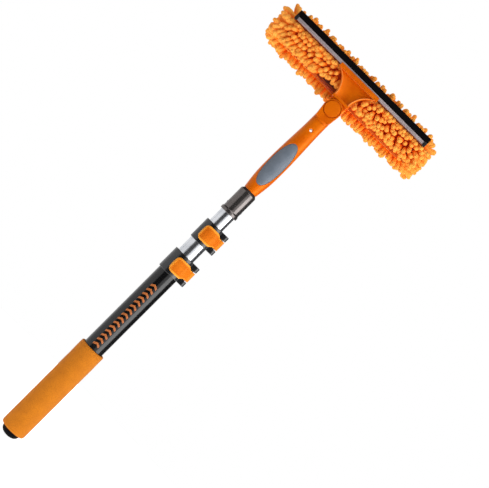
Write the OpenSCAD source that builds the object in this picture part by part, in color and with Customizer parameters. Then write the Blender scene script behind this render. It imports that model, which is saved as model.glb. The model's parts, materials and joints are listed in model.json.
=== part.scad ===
// Telescopic window squeegee with a swivelling chenille scrubber head.
// The pole stands along +Z, the blade faces -Y, and the origin is the middle of the foam grip.

/* [Grip and butt] */
// Outer diameter of the foam grip
grip_d = 40; // [36:1:44]
// Length of the foam grip
grip_len = 159; // [120:1:180]
// Height of the domed end cap below the grip
cap_h = 10.5; // [8:0.5:13]

/* [Telescopic pole] */
// Outer diameter of the black base tube
outer_d = 32; // [31:0.5:33]
// Outer diameter of the middle tube
middle_d = 28; // [27.5:0.5:28.5]
// Outer diameter of the top tube
inner_d = 24; // [23.5:0.5:24.5]
// Wall of each aluminium tube
tube_wall = 1.2; // [1:0.1:1.4]
// Bare base tube between the grip and the lower clamp
base_show = 147; // [100:1:200]
// Bare middle tube between the two clamps, as stored
middle_show = 25; // [24:1:60]
// Bare top tube between the upper clamp and the tip collar, as stored
top_show = 23.5; // [23:0.5:60]

/* [Clamps] */
// Height of the lower clamp
lower_clamp_h = 34.5; // [32:0.5:38]
// Height of the upper clamp
upper_clamp_h = 34; // [32:0.5:38]
// Height of a lever's paddle
paddle_h = 24; // [20:1:26]
// Height of a lever's neck, between the two ears
neck_h = 16; // [12:1:16]

/* [Handle] */
// Pole tip to swivel pivot
handle_reach = 160.5; // [140:0.5:180]
// Widest part of the handle
handle_w = 29; // [27:0.5:31]
// Depth of the handle, front to back
handle_depth = 22; // [21:0.5:22]
// Radius of the hang hole
hang_hole_r = 2.2; // [2:0.1:2.5]

/* [Head] */
// Length of the rubber blade
blade_len = 254; // [200:1:350]
// Length of the chenille pad's core
pad_len = 272; // [240:1:360]
// Width of the yoke's top flange
flange_w = 72; // [64:1:80]

/* [Hidden] */
$fn = 96;
fit = 0.1;
gap = 0.6;

// Heights along the pole
grip_z0 = -grip_len / 2;
grip_z1 = grip_len / 2;
butt_z = grip_z0 - cap_h;
lower_clamp_z = grip_z1 + base_show;
upper_clamp_z = lower_clamp_z + lower_clamp_h + middle_show;
collar_z = upper_clamp_z + upper_clamp_h + top_show;
collar_h = 43.5;
handle_z = collar_z + collar_h;
pivot_z = handle_z + handle_reach;
seam_z = pivot_z - 24.7;
hang_z = pivot_z - 41.7;
oval_z = handle_z + 52.3;

// Tubes
outer_r = outer_d / 2;
middle_r = middle_d / 2;
inner_r = inner_d / 2;
socket_depth = 14;
plug_top = grip_z0 + 9.5;
middle_z0 = grip_z0 + 34.5;
inner_z0 = middle_z0 + 25;
guide_len = 20;
liner_wall = 1.4;

// Clamp levers: the hinge stands at the right-hand side, a little in front of the tube's axis
hinge_y = -3;
lever_r = 4.6;
lever_t = 3.8;
pin_r = 1.6;
ear_t = 9;

// Tip
stud_r = 9.5;
stud_len = 24;
thread_pitch = 5;
insert_t = 1;
oval_w = 21;
oval_h = 75.7;

// Swivel
tongue_t = 7.2;
washer_t = 0.5;
slot_t = tongue_t + 2 * washer_t + 2 * fit;
clevis_r = 13.6;
tongue_r = 12.5;
neck_depth = 20;
pivot_pin_r = 3;

// Head, measured up from the pivot
bar_z = pivot_z + clevis_r + gap;
fan_z = pivot_z + 18.5;
fan_top = pivot_z + 54.4;
fan_w = 29;
fan_r = 34;
rib_w = 2.4;
plate_y = -tongue_t / 2;
rib_y = -7;
channel_z = pivot_z + 53.7;
channel_h = 4.4;
channel_len = blade_len - 6;
channel_y0 = -8.2;
channel_y1 = -0.8;
blade_t = 2;
blade_top = pivot_z + 67.6;
clip_w = 5;

// Scrubber
pad_front = 5;
pad_back = 38;
pad_low = pivot_z + 8;
pad_shelf = pivot_z + 16;
pad_high = pivot_z + 68;
pad_low_y = 12;
holder_y0 = 8;
holder_y1 = 15;
holder_z0 = pivot_z + 20;
holder_z1 = pivot_z + 58;
holder_len = 244;
stem_w = 26;
stem_z0 = pivot_z + 26;
stem_z1 = pivot_z + 50;
hem_t = 1.2;
hem_h = 7;

// A straight pipe from z0 to z1
module pipe(r_out, r_in, z0, z1) {
    translate([0, 0, z0])
        difference() {
            cylinder(r = r_out, h = z1 - z0);
            translate([0, 0, -1])
                cylinder(r = r_in, h = z1 - z0 + 2);
        }
}

// A box given by its low and high corners
module block(low, high) {
    translate(low)
        cube(high - low);
}

// A round bar along Y, from y0 to y1, centred at height z
module y_bar(r, y0, y1, z, x = 0) {
    translate([x, y0, z])
        rotate([-90, 0, 0])
            cylinder(r = r, h = y1 - y0);
}

// ---- Butt and grip ----

module end_cap() {
    dome_base = 14;
    dome_r = (dome_base * dome_base + cap_h * cap_h) / (2 * cap_h);
    color("#15161A")
        union() {
            rotate_extrude()
                intersection() {
                    translate([0, butt_z + dome_r])
                        circle(r = dome_r);
                    translate([0, butt_z])
                        square([dome_base, cap_h]);
                }
            translate([0, 0, grip_z0])
                cylinder(r = outer_r - tube_wall, h = plug_top - grip_z0);
        }
}

module foam_grip() {
    color("#EE9430")
        rotate_extrude()
            polygon([
                [outer_r, grip_z0], [grip_d / 2 - 2.5, grip_z0], [grip_d / 2, grip_z0 + 4],
                [grip_d / 2, grip_z1 - 1.5], [grip_d / 2 - 1.5, grip_z1], [outer_r, grip_z1]
            ]);
}

module outer_tube() {
    color("#1B1C20")
        pipe(outer_r, outer_r - tube_wall, grip_z0, lower_clamp_z + socket_depth);
}

// ---- Flip-lever clamps ----
// Each clamp is glued over the top of one tube (radius tube_r) and grips the next (radius slide_r).

function clamp_r(tube_r) = tube_r + 2;
function hinge_x(tube_r) = clamp_r(tube_r) + lever_r + 0.4;

module clamp_body(tube_r, slide_r, z, h) {
    r = clamp_r(tube_r);
    hx = hinge_x(tube_r);
    shoulder = z + socket_depth;
    difference() {
        union() {
            translate([0, 0, z])
                cylinder(r = r, h = h);
            for (z0 = [z, z + h - ear_t + 1])
                difference() {
                    union() {
                        block([0, hinge_y - lever_r, z0], [hx, r * 0.7, z0 + ear_t - 1]);
                        translate([hx, hinge_y, z0])
                            cylinder(r = lever_r, h = ear_t - 1);
                    }
                    translate([hx + lever_r - 0.5, 4, z0 - 1])
                        rotate([0, 0, 45])
                            cube([20, 20, ear_t + 2]);
                }
        }
        translate([0, 0, z - 1])
            cylinder(r = tube_r, h = socket_depth + 1);
        translate([0, 0, shoulder])
            cylinder(r = slide_r + fit + liner_wall, h = h - socket_depth - 2);
        translate([0, 0, z + h - 3])
            cylinder(r = slide_r + 0.4, h = 4);
        translate([hx, hinge_y, z - 1])
            cylinder(r = pin_r, h = h + 2);
        shoe_space(tube_r, z, h, 0.05);
    }
}

// The window in the clamp's wall that the brake shoe sits in
module shoe_space(tube_r, z, h, extra) {
    mid = z + h / 2 + 4;
    block(
        [0, hinge_y - 4 - extra, mid - 4.5 - extra],
        [clamp_r(tube_r) + 0.05, hinge_y + 4 + extra, mid + 4.5 + extra]
    );
}

module clamp_liner(tube_r, slide_r, z, h) {
    difference() {
        pipe(slide_r + fit + liner_wall, slide_r + fit, z + socket_depth, z + h - 3);
        shoe_space(tube_r, z, h, 0.1);
    }
}

module clamp_shoe(tube_r, slide_r, z, h) {
    difference() {
        intersection() {
            shoe_space(tube_r, z, h, 0);
            translate([0, 0, z])
                cylinder(r = clamp_r(tube_r) + 0.05, h = h);
        }
        translate([0, 0, z])
            cylinder(r = slide_r + fit, h = h);
    }
}

module clamp_pin(tube_r, z, h) {
    translate([hinge_x(tube_r), hinge_y, z + 0.5])
        cylinder(r = pin_r, h = h - 1);
}

// The paddle hugs the front of the clamp, from the hinge round to just past the tube's axis.
module clamp_lever(tube_r, z, h) {
    r = clamp_r(tube_r) + 0.5;
    hx = hinge_x(tube_r);
    mid = z + h / 2;
    wrap = 82;
    start = -112;
    difference() {
        union() {
            translate([0, 0, mid - paddle_h / 2])
                rotate([0, 0, start])
                    rotate_extrude(angle = wrap)
                        translate([r, 0])
                            square([lever_t, paddle_h]);
            translate([0, 0, mid - neck_h / 2])
                rotate([0, 0, start + wrap - 1])
                    rotate_extrude(angle = 16)
                        translate([r, 0])
                            square([lever_t, neck_h]);
            translate([hx, hinge_y, mid - neck_h / 2])
                cylinder(r = lever_r, h = neck_h);
        }
        translate([hx, hinge_y, mid - paddle_h])
            cylinder(r = pin_r + 0.08, h = 2 * paddle_h);
        translate([0, 0, mid - paddle_h])
            cylinder(r = r - 0.1, h = 2 * paddle_h);
    }
}

module lower_clamp_body() {
    color("#232428")
        clamp_body(outer_r, middle_r, lower_clamp_z, lower_clamp_h);
}

module lower_clamp_liner() {
    color("#D8D8D2")
        clamp_liner(outer_r, middle_r, lower_clamp_z, lower_clamp_h);
}

module lower_clamp_shoe() {
    color("#3A3A3A")
        clamp_shoe(outer_r, middle_r, lower_clamp_z, lower_clamp_h);
}

module lower_clamp_pin() {
    color("#B8BBC0")
        clamp_pin(outer_r, lower_clamp_z, lower_clamp_h);
}

module lower_clamp_lever() {
    color("#F08A24")
        clamp_lever(outer_r, lower_clamp_z, lower_clamp_h);
}

module upper_clamp_body() {
    color("#232428")
        clamp_body(middle_r, inner_r, upper_clamp_z, upper_clamp_h);
}

module upper_clamp_liner() {
    color("#D8D8D2")
        clamp_liner(middle_r, inner_r, upper_clamp_z, upper_clamp_h);
}

module upper_clamp_shoe() {
    color("#3A3A3A")
        clamp_shoe(middle_r, inner_r, upper_clamp_z, upper_clamp_h);
}

module upper_clamp_pin() {
    color("#B8BBC0")
        clamp_pin(middle_r, upper_clamp_z, upper_clamp_h);
}

module upper_clamp_lever() {
    color("#F08A24")
        clamp_lever(middle_r, upper_clamp_z, upper_clamp_h);
}

// ---- Sliding tubes ----

module middle_tube() {
    color("#D5D7DB")
        pipe(middle_r, middle_r - tube_wall, middle_z0, upper_clamp_z + socket_depth);
}

module middle_tube_guide() {
    color("#2C2D31")
        pipe(outer_r - tube_wall - fit, middle_r, middle_z0, middle_z0 + guide_len);
}

module inner_tube() {
    color("#D5D7DB")
        pipe(inner_r, inner_r - tube_wall, inner_z0, handle_z - 8);
}

module inner_tube_guide() {
    color("#2C2D31")
        pipe(middle_r - tube_wall - fit, inner_r, inner_z0, inner_z0 + guide_len);
}

// ---- Tip ----

module tip_collar() {
    flange_h = 5.5;
    flange_r = 14.5;
    body_r = 13.2;
    color("#55565B")
        rotate_extrude()
            polygon([
                [inner_r, collar_z], [flange_r, collar_z], [flange_r, collar_z + flange_h - 1],
                [body_r, collar_z + flange_h], [body_r, handle_z - 3.5], [stud_r + 1, handle_z],
                [stud_r, handle_z], [stud_r, handle_z - 8], [inner_r, handle_z - 8]
            ]);
}

// A plug inside the top tube, and a coarse thread of four ridges that screws into the handle
module threaded_stud() {
    root_r = stud_r - 1.2;
    color("#3E3F43")
        union() {
            translate([0, 0, handle_z - 40])
                cylinder(r = inner_r - tube_wall, h = 32);
            translate([0, 0, handle_z - 8])
                cylinder(r = stud_r, h = 8);
            translate([0, 0, handle_z])
                cylinder(r = root_r, h = stud_len);
            for (i = [0:3])
                translate([0, 0, handle_z + 4 + i * thread_pitch])
                    rotate_extrude()
                        polygon([
                            [root_r - 1, -1.9], [root_r, -1.9], [stud_r, -0.9],
                            [stud_r, 0.9], [root_r, 1.9], [root_r - 1, 1.9]
                        ]);
        }
}

module tip_rivets() {
    color("#B8BBC0")
        for (side = [0, 180])
            rotate([0, 0, side])
                translate([inner_r - tube_wall, 0, collar_z + 12])
                    rotate([0, 90, 0])
                        cylinder(r = 1.5, h = 2.7);
}

// ---- Handle ----

// The handle's outer form, or the same form drawn in by inset all round:
// a turned body whose front and back are flattened
module handle_form(inset = 0) {
    half = handle_w / 2 - inset;
    deep = handle_depth / 2 - inset;
    neck = neck_depth / 2 - inset;
    waist_z = handle_z + 82;
    intersection() {
        rotate_extrude()
            polygon([
                [0, handle_z], [11.1 - inset, handle_z], [12.5 - inset, handle_z + 11.5],
                [half, handle_z + 33], [half, handle_z + 61], [half - 0.6, waist_z],
                [12 - inset, seam_z], [0, seam_z]
            ]);
        rotate([90, 0, 90])
            linear_extrude(height = 2 * handle_w, center = true)
                polygon([
                    [-deep, handle_z - 1], [deep, handle_z - 1], [deep, waist_z],
                    [neck, seam_z + 1], [-neck, seam_z + 1], [-deep, waist_z]
                ]);
    }
}

// The shallow oval recess for a soft insert, on the front (side = -1) or the back (side = 1)
module oval_recess(side) {
    difference() {
        translate([0, side * 16, oval_z])
            rotate([90, 0, 0])
                linear_extrude(height = 20, center = true)
                    polygon([for (a = [0 : 10 : 350]) [oval_w / 2 * cos(a), oval_h / 2 * sin(a)]]);
        handle_form(insert_t);
    }
}

module handle_body() {
    color("#E8801E")
        difference() {
            handle_form();
            oval_recess(-1);
            oval_recess(1);
            y_bar(hang_hole_r, -20, 20, hang_z);
            translate([0, 0, handle_z - 1])
                cylinder(r = stud_r + 0.05, h = stud_len + 3);
            translate([0, 0, seam_z - 14])
                cylinder(r = 6, h = 20);
        }
}

module grip_insert(side) {
    intersection() {
        handle_form();
        oval_recess(side);
    }
}

module handle_grip_front() {
    color("#7A828C")
        grip_insert(-1);
}

module handle_grip_back() {
    color("#7A828C")
        grip_insert(1);
}

// The neck ends in a clevis of two round cheeks
module swivel_neck() {
    half = neck_depth / 2;
    color("#E07818")
        difference() {
            union() {
                intersection() {
                    union() {
                        block([-12, -half, seam_z], [12, half, pivot_z - 4]);
                        y_bar(clevis_r, -half, half, pivot_z);
                    }
                    union() {
                        block([-15, -half + 4, seam_z], [15, half - 4, pivot_z + 15]);
                        block([-11, -half, seam_z], [11, half, pivot_z + 15]);
                        for (x = [-11, 11], y = [-half + 4, half - 4])
                            translate([x, y, seam_z])
                                cylinder(r = 4, h = 60);
                    }
                }
                translate([0, 0, seam_z - 13])
                    cylinder(r = 6, h = 13.5);
            }
            block([-20, -slot_t / 2, pivot_z - 13.2], [20, slot_t / 2, pivot_z + 20]);
            y_bar(pivot_pin_r, -20, 20, pivot_z);
            y_bar(5, -20, -half + 2, pivot_z);
            y_bar(5.2, half - 3.5, 20, pivot_z);
        }
}

module pivot_pin() {
    half = neck_depth / 2;
    color("#B8BBC0")
        union() {
            y_bar(pivot_pin_r, -half + 1, half - 0.5, pivot_z);
            y_bar(4.8, -half + 0.2, -half + 2, pivot_z);
        }
}

module pivot_nut() {
    half = neck_depth / 2;
    color("#9EA1A6")
        translate([0, half - 3.5, pivot_z])
            rotate([-90, 0, 0])
                difference() {
                    cylinder(r = 5, h = 2.8, $fn = 6);
                    translate([0, 0, -1])
                        cylinder(r = pivot_pin_r, h = 5);
                }
}

module pivot_cap() {
    half = neck_depth / 2;
    color("#DC7418")
        y_bar(12, -half - 1.4, -half, pivot_z);
}

module friction_washers() {
    color("#C9CBCF")
        for (side = [-1, 1])
            translate([0, side * (tongue_t / 2 + fit + washer_t / 2), pivot_z])
                rotate([90, 0, 0])
                    difference() {
                        cylinder(r = 9, h = washer_t, center = true);
                        cylinder(r = pivot_pin_r, h = 5, center = true);
                    }
}

// ---- Swivelling head ----

// Outline of the yoke's fan in X and height: straight at the foot, flaring out in two round arcs
module fan_outline() {
    difference() {
        translate([-flange_w / 2, bar_z])
            square([flange_w, fan_top - 4.4 - bar_z]);
        for (side = [-1, 1]) {
            translate([side * (fan_w / 2 + fan_r), fan_z])
                circle(r = fan_r);
            translate([side * (fan_w / 2 + fan_r) - fan_r, bar_z - 10])
                square([2 * fan_r, fan_z - bar_z + 10]);
        }
    }
}

// Raises an outline drawn in X and height into a plate from y0 to y1
module plate(y0, y1) {
    translate([0, y1, 0])
        rotate([90, 0, 0])
            linear_extrude(height = y1 - y0)
                children();
}

module yoke() {
    color("#E2781A")
        difference() {
            union() {
                y_bar(tongue_r, -tongue_t / 2, tongue_t / 2, pivot_z);
                block([-tongue_r, -tongue_t / 2, pivot_z], [tongue_r, tongue_t / 2, bar_z + 1]);
                block([-fan_w / 2, rib_y, bar_z], [fan_w / 2, tongue_t / 2, fan_z]);
                plate(plate_y, 0)
                    fan_outline();
                for (side = [-1, 1])
                    intersection() {
                        plate(rib_y, 0)
                            fan_outline();
                        y_bar(fan_r + rib_w, rib_y - 1, 1, fan_z, side * (fan_w / 2 + fan_r));
                    }
                block([-flange_w / 2, rib_y - 1.5, fan_top - 4.5], [flange_w / 2, 0, channel_z]);
                block([-stem_w / 2, -0.5, stem_z0], [stem_w / 2, holder_y0, stem_z1]);
            }
            y_bar(pivot_pin_r + 0.05, -20, 20, pivot_z);
            for (x = [-8, 8])
                y_bar(1.5, 1, 20, (stem_z0 + stem_z1) / 2, x);
        }
}

// Aluminium strip, open along its top, with a round key for the rubber's bead
module blade_channel() {
    mid_y = (channel_y0 + channel_y1) / 2;
    color("#C9C2CA")
        difference() {
            block([-channel_len / 2, channel_y0, channel_z], [channel_len / 2, channel_y1, channel_z + channel_h]);
            block([-blade_len, mid_y - blade_t / 2, channel_z + 2], [blade_len, mid_y + blade_t / 2, channel_z + 10]);
            translate([-blade_len, mid_y, channel_z + 2.2])
                rotate([0, 90, 0])
                    cylinder(r = 1.6, h = 2 * blade_len);
        }
}

module rubber_blade() {
    mid_y = (channel_y0 + channel_y1) / 2;
    color("#1A1114")
        union() {
            translate([-blade_len / 2, mid_y, channel_z + 2.2])
                rotate([0, 90, 0])
                    cylinder(r = 1.6, h = blade_len);
            block(
                [-blade_len / 2, mid_y - blade_t / 2, channel_z + 2.2],
                [blade_len / 2, mid_y + blade_t / 2, blade_top]
            );
        }
}

module channel_end_clips() {
    color("#121214")
        for (side = [-1, 1])
            difference() {
                block(
                    [side * (blade_len / 2 - clip_w / 2) - clip_w / 2, channel_y0 - 1, channel_z - 1.5],
                    [side * (blade_len / 2 - clip_w / 2) + clip_w / 2, channel_y1 + 1, channel_z + channel_h + 1]
                );
                block(
                    [-channel_len / 2, channel_y0, channel_z],
                    [channel_len / 2, channel_y1, channel_z + channel_h]
                );
                block(
                    [-blade_len, (channel_y0 + channel_y1) / 2 - 1.6, channel_z + 0.6],
                    [blade_len, (channel_y0 + channel_y1) / 2 + 1.6, channel_z + 20]
                );
            }
}

// Stiff bar inside the scrubber sleeve
module pad_bar() {
    mid = (stem_z0 + stem_z1) / 2;
    color("#C86A18")
        difference() {
            block([-holder_len / 2, holder_y0, holder_z0], [holder_len / 2, holder_y1, holder_z1]);
            for (x = [-8, 8])
                y_bar(1.5, 0, 20, mid, x);
            for (x = [-8, 8])
                y_bar(3, holder_y1 - 2, 20, mid, x);
        }
}

module pad_bar_screws() {
    mid = (stem_z0 + stem_z1) / 2;
    color("#B8BBC0")
        for (x = [-8, 8])
            union() {
                y_bar(1.5, 1.5, holder_y1 - 1, mid, x);
                y_bar(2.9, holder_y1 - 2, holder_y1 - 0.2, mid, x);
            }
}

// The chenille sleeve as one soft closed form: a shelf under it clears the turning handle
module scrub_pad() {
    color("#F59A34")
        difference() {
            rotate([90, 0, 90])
                linear_extrude(height = pad_len, center = true)
                    polygon([
                        [pad_front + 3, pad_high], [pad_front, pad_high - 6], [pad_front, pad_shelf],
                        [pad_low_y, pad_shelf], [pad_low_y, pad_low + 2], [pad_low_y + 4, pad_low],
                        [pad_back - 6, pad_low], [pad_back, pad_low + 8], [pad_back, pad_high - 10],
                        [pad_back - 8, pad_high]
                    ]);
            block([-holder_len / 2, holder_y0, holder_z0], [holder_len / 2, holder_y1, holder_z1]);
            block([-stem_w / 2, 0, stem_z0], [stem_w / 2, holder_y0 + 1, stem_z1]);
        }
}

// Bound hem along the sleeve's lower front edge, open in the middle for the yoke
module pad_hem() {
    hem_len = 92;
    color("#C85A14")
        for (side = [-1, 1])
            translate([side * (18 + hem_len / 2), pad_front - hem_t / 2, pad_shelf + hem_h / 2])
                cube([hem_len, hem_t, hem_h], center = true);
}

end_cap();
foam_grip();
outer_tube();
lower_clamp_body();
lower_clamp_liner();
lower_clamp_shoe();
lower_clamp_pin();
lower_clamp_lever();
middle_tube();
middle_tube_guide();
upper_clamp_body();
upper_clamp_liner();
upper_clamp_shoe();
upper_clamp_pin();
upper_clamp_lever();
inner_tube();
inner_tube_guide();
tip_collar();
threaded_stud();
tip_rivets();
handle_body();
handle_grip_front();
handle_grip_back();
swivel_neck();
pivot_pin();
pivot_nut();
pivot_cap();
friction_washers();
yoke();
blade_channel();
rubber_blade();
channel_end_clips();
pad_bar();
pad_bar_screws();
scrub_pad();
pad_hem();
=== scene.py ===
"""Looks of a telescopic window squeegee with a chenille scrubber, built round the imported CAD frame."""
import json
import math

import bmesh
import bpy
import numpy as np
from mathutils import Matrix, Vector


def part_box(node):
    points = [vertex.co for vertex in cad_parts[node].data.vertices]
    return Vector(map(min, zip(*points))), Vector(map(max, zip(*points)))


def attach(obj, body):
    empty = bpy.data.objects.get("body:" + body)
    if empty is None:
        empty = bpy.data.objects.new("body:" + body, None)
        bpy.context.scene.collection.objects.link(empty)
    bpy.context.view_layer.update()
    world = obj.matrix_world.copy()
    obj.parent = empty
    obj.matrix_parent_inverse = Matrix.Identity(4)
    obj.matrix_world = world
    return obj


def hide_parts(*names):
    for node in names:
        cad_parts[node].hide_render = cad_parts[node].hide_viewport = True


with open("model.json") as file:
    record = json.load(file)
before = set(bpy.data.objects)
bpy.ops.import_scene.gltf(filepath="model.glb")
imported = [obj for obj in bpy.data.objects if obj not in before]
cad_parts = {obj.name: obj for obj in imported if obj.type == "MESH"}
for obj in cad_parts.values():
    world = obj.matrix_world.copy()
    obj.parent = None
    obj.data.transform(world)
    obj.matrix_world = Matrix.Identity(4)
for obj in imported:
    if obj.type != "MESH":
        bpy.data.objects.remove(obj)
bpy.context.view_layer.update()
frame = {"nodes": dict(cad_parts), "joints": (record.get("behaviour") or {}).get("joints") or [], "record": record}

MM = 0.001
STEPS = 96                                      # facets round a turned piece
PI = math.pi
NEAR_AXIS = 0.01 * MM                           # where a turned outline starts and ends, beside its axis


# ---- Places and sizes, read from the frame ----

class Span:
    """The lowest and highest corner of a CAD node, by letter: lo.x, hi.z and so on."""

    def __init__(self, node):
        self.lo, self.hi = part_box(node)

    @property
    def middle(self):
        return (self.lo + self.hi) / 2

    @property
    def size(self):
        return self.hi - self.lo


def place_of(name, entries=frame["joints"]):
    """Where a hinge's axis passes, or where another named entry is, in metres."""
    return next(entry["pos_m"] for entry in entries if entry["name"] == name)


CAP, GRIP, BASE_TUBE = Span("end_cap"), Span("foam_grip"), Span("outer_tube")
COLLAR, HANDLE, NECK = Span("tip_collar"), Span("handle_body"), Span("swivel_neck")
OVAL, YOKE, DISC = Span("handle_grip_front"), Span("yoke"), Span("pivot_cap")
STRIP, BLADE, PAD, HEM = Span("blade_channel"), Span("rubber_blade"), Span("scrub_pad"), Span("pad_hem")
PIVOT_Z = place_of("head_swivel")[2]
HANG_Z = place_of("hang_hole", frame["record"]["mounts"])[2]


# ---- Meshes ----

def finish_mesh(thing, sharp=35):
    """Turns the faces outwards and shades them smooth, with edges over the sharp angle kept crisp."""
    mesh = thing.data
    work = bmesh.new()
    work.from_mesh(mesh)
    bmesh.ops.recalc_face_normals(work, faces=work.faces)
    work.to_mesh(mesh)
    work.free()
    mesh.shade_smooth()
    mesh.set_sharp_from_angle(angle=math.radians(sharp))
    return thing


def new_object(name, data):
    thing = bpy.data.objects.new(name, data)
    bpy.context.scene.collection.objects.link(thing)
    return thing


def new_piece(name, points, faces):
    mesh = bpy.data.meshes.new(name)
    mesh.from_pydata(np.asarray(points, float).reshape(-1, 3), [], faces)
    return new_object(name, mesh)


def points_of(thing):
    return np.array([v.co for v in thing.data.vertices])


def move_points(thing, points):
    thing.data.vertices.foreach_set("co", points.ravel())


def mark(thing, label, values):
    """Stores a number on each point, for a finish to read."""
    thing.data.attributes.new(label, "FLOAT", "POINT").data.foreach_set("value", values)


def circle(steps):
    """Angles once round, the last one step short of the first."""
    return np.linspace(0, 2 * PI, steps, endpoint=False)


def bowed(wave, power):
    """A sine or cosine bent to a superellipse's: sign(w) |w|^power."""
    return np.sign(wave) * np.abs(wave) ** power


def unit(v):
    """Vectors along the last axis, made one long."""
    return v / np.maximum(np.linalg.norm(v, axis=-1, keepdims=True), 1e-12)


def quads(rows, cols, join_rows=False):
    """Corner numbers of the quads of a grid of closed rows, whose points are numbered row by row."""
    r, c = np.arange(rows if join_rows else rows - 1)[:, None], np.arange(cols)[None, :]
    r2, c2 = (r + 1) % rows, (c + 1) % cols
    corners = [r * cols + c, r * cols + c2, r2 * cols + c2, r2 * cols + c]
    return np.stack(corners, -1).reshape(-1, 4)


def ring_caps(rows, cols, foot, head):
    """Corner numbers of the fans that close a grid's first row to the point foot and its last to head."""
    here, there = np.arange(cols), np.roll(np.arange(cols), -1)
    last = (rows - 1) * cols
    first_fan = np.stack([there, here, np.full(cols, foot)], 1)
    last_fan = np.stack([here + last, there + last, np.full(cols, head)], 1)
    return np.concatenate([first_fan, last_fan])


def skin(name, rings, looped=False, sharp=35, flat=False):
    """A closed skin through rings (rows, columns, 3). Each end closes in a fan to the middle of its ring,
    or in one flat face; looped joins the last ring to the first instead."""
    rows, cols, _ = rings.shape
    points, faces = rings.reshape(-1, 3), quads(rows, cols, join_rows=looped).tolist()
    if flat:
        faces += [list(range(cols)), list(range((rows - 1) * cols, rows * cols))]
    elif not looped:
        points = np.vstack([points, rings[0].mean(0), rings[-1].mean(0)])
        faces += ring_caps(rows, cols, rows * cols, rows * cols + 1).tolist()
    return finish_mesh(new_piece(name, points, faces), sharp)


def soften(corners, radius, closed=False, steps=5):
    """Rounds a polyline's corners: each corner p becomes the curve (1-t)^2 a + 2t(1-t) p + t^2 b,
    where a and b lie on its two sides, at most radius away."""
    p = np.asarray(corners, float)
    t = np.linspace(0, 1, steps)[None, :, None]
    sides = [np.roll(p, 1, 0) - p, np.roll(p, -1, 0) - p]
    ends = []
    for side in sides:
        length = np.linalg.norm(side, axis=1, keepdims=True)
        ends.append(p + side * np.minimum(radius / np.maximum(length, 1e-9), 0.45))
    a, b = ends[0][:, None], ends[1][:, None]
    curve = (1 - t) ** 2 * a + 2 * t * (1 - t) * p[:, None] + t ** 2 * b
    if closed:
        return curve.reshape(-1, 2)
    return np.vstack([p[:1], curve[1:-1].reshape(-1, 2), p[-1:]])


def stand(u, v, height, along):
    """Points from two coordinates across an axis and one along it."""
    return np.stack({"Z": (u, v, height), "Y": (u, height, v)}[along], -1)


def turned(name, profile, closed=False, along="Z", centre=(0, 0, 0), steps=STEPS):
    """A profile of (radius, height) turned about an axis: the two sides are r cos a and r sin a."""
    a = circle(steps)[None, :]
    r, h = profile[:, :1], profile[:, 1:] + 0 * a
    return skin(name, stand(r * np.cos(a), r * np.sin(a), h, along) + np.asarray(centre), looped=closed)


def plug(name, radius, low, high, **how):
    """A plain round bar, for cutting a hole."""
    return turned(name, np.array([(NEAR_AXIS, low), (radius, low), (radius, high), (NEAR_AXIS, high)]), **how)


def moulded_prism(name, circles, low, high, edge, along="Z", steps=STEPS):
    """A prism round a group of circles (u, v, radius), with rounded rims. In each direction n its outline
    is the furthest reaching circle's point c + r n, so the outline is the group's convex hull."""
    a = circle(steps)
    n = np.stack([np.cos(a), np.sin(a)], 1)
    c = np.asarray(circles, float)
    k = (n @ c[:, :2].T + c[:, 2]).argmax(1)
    q = np.linspace(0, PI / 2, 6)
    inset = np.concatenate([edge * (1 - np.sin(q)), edge * (1 - np.sin(q[::-1]))])
    height = np.concatenate([low + edge * (1 - np.cos(q)), high - edge * (1 - np.cos(q[::-1]))])
    uv = c[k, :2][None] + n[None] * (c[k, 2][None, :, None] - inset[:, None, None])
    h = np.broadcast_to(height[:, None], uv.shape[:2])
    return skin(name, stand(uv[..., 0], uv[..., 1], h, along))


def rounded_box(name, low, high, corner, edge, along="Z"):
    """A box whose four upright edges are rounded by corner and whose rims are rounded by edge."""
    u, v, h = {"Z": (0, 1, 2), "Y": (0, 2, 1)}[along]
    circles = [(x, y, corner) for x in (low[u] + corner, high[u] - corner)
               for y in (low[v] + corner, high[v] - corner)]
    return moulded_prism(name, circles, low[h], high[h], edge, along, steps=48)


def drawn_profile(name, outline, low, high):
    """A closed outline of (y, z) drawn out along X from low to high."""
    n = len(outline)
    ends = [np.column_stack([np.full(n, x), outline]) for x in (low, high)]
    faces = quads(2, n).tolist() + [list(range(n)), list(range(2 * n - 1, n - 1, -1))]
    return finish_mesh(new_piece(name, np.vstack(ends), faces))


def settle(thing, sharp=None):
    """Applies the piece's modifiers to its mesh."""
    graph = bpy.context.evaluated_depsgraph_get()
    made = bpy.data.meshes.new_from_object(thing.evaluated_get(graph))
    old, thing.data = thing.data, made
    thing.modifiers.clear()
    bpy.data.meshes.remove(old)
    return finish_mesh(thing, sharp) if sharp else thing


def combine(target, others, operation="UNION"):
    """Joins solids to the target, or cuts them from it, and keeps its flats flat."""
    for other in others:
        step = target.modifiers.new("step", "BOOLEAN")
        step.operation, step.object, step.solver = operation, other, "EXACT"
        settle(target)
        bpy.data.objects.remove(other)
    return finish_mesh(target)


def flatten_shading(thing):
    """Weights the corner normals by face area, so that large flats don't shade towards their rounded rims."""
    weigh = thing.modifiers.new("weigh", "WEIGHTED_NORMAL")
    weigh.keep_sharp = True
    return settle(thing)


def smooth_step(x, low, high):
    """0 below low, 1 above high, and 3t^2 - 2t^3 between."""
    t = np.clip((x - low) / (high - low), 0, 1)
    return t * t * (3 - 2 * t)


# ---- Shaders ----

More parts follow.
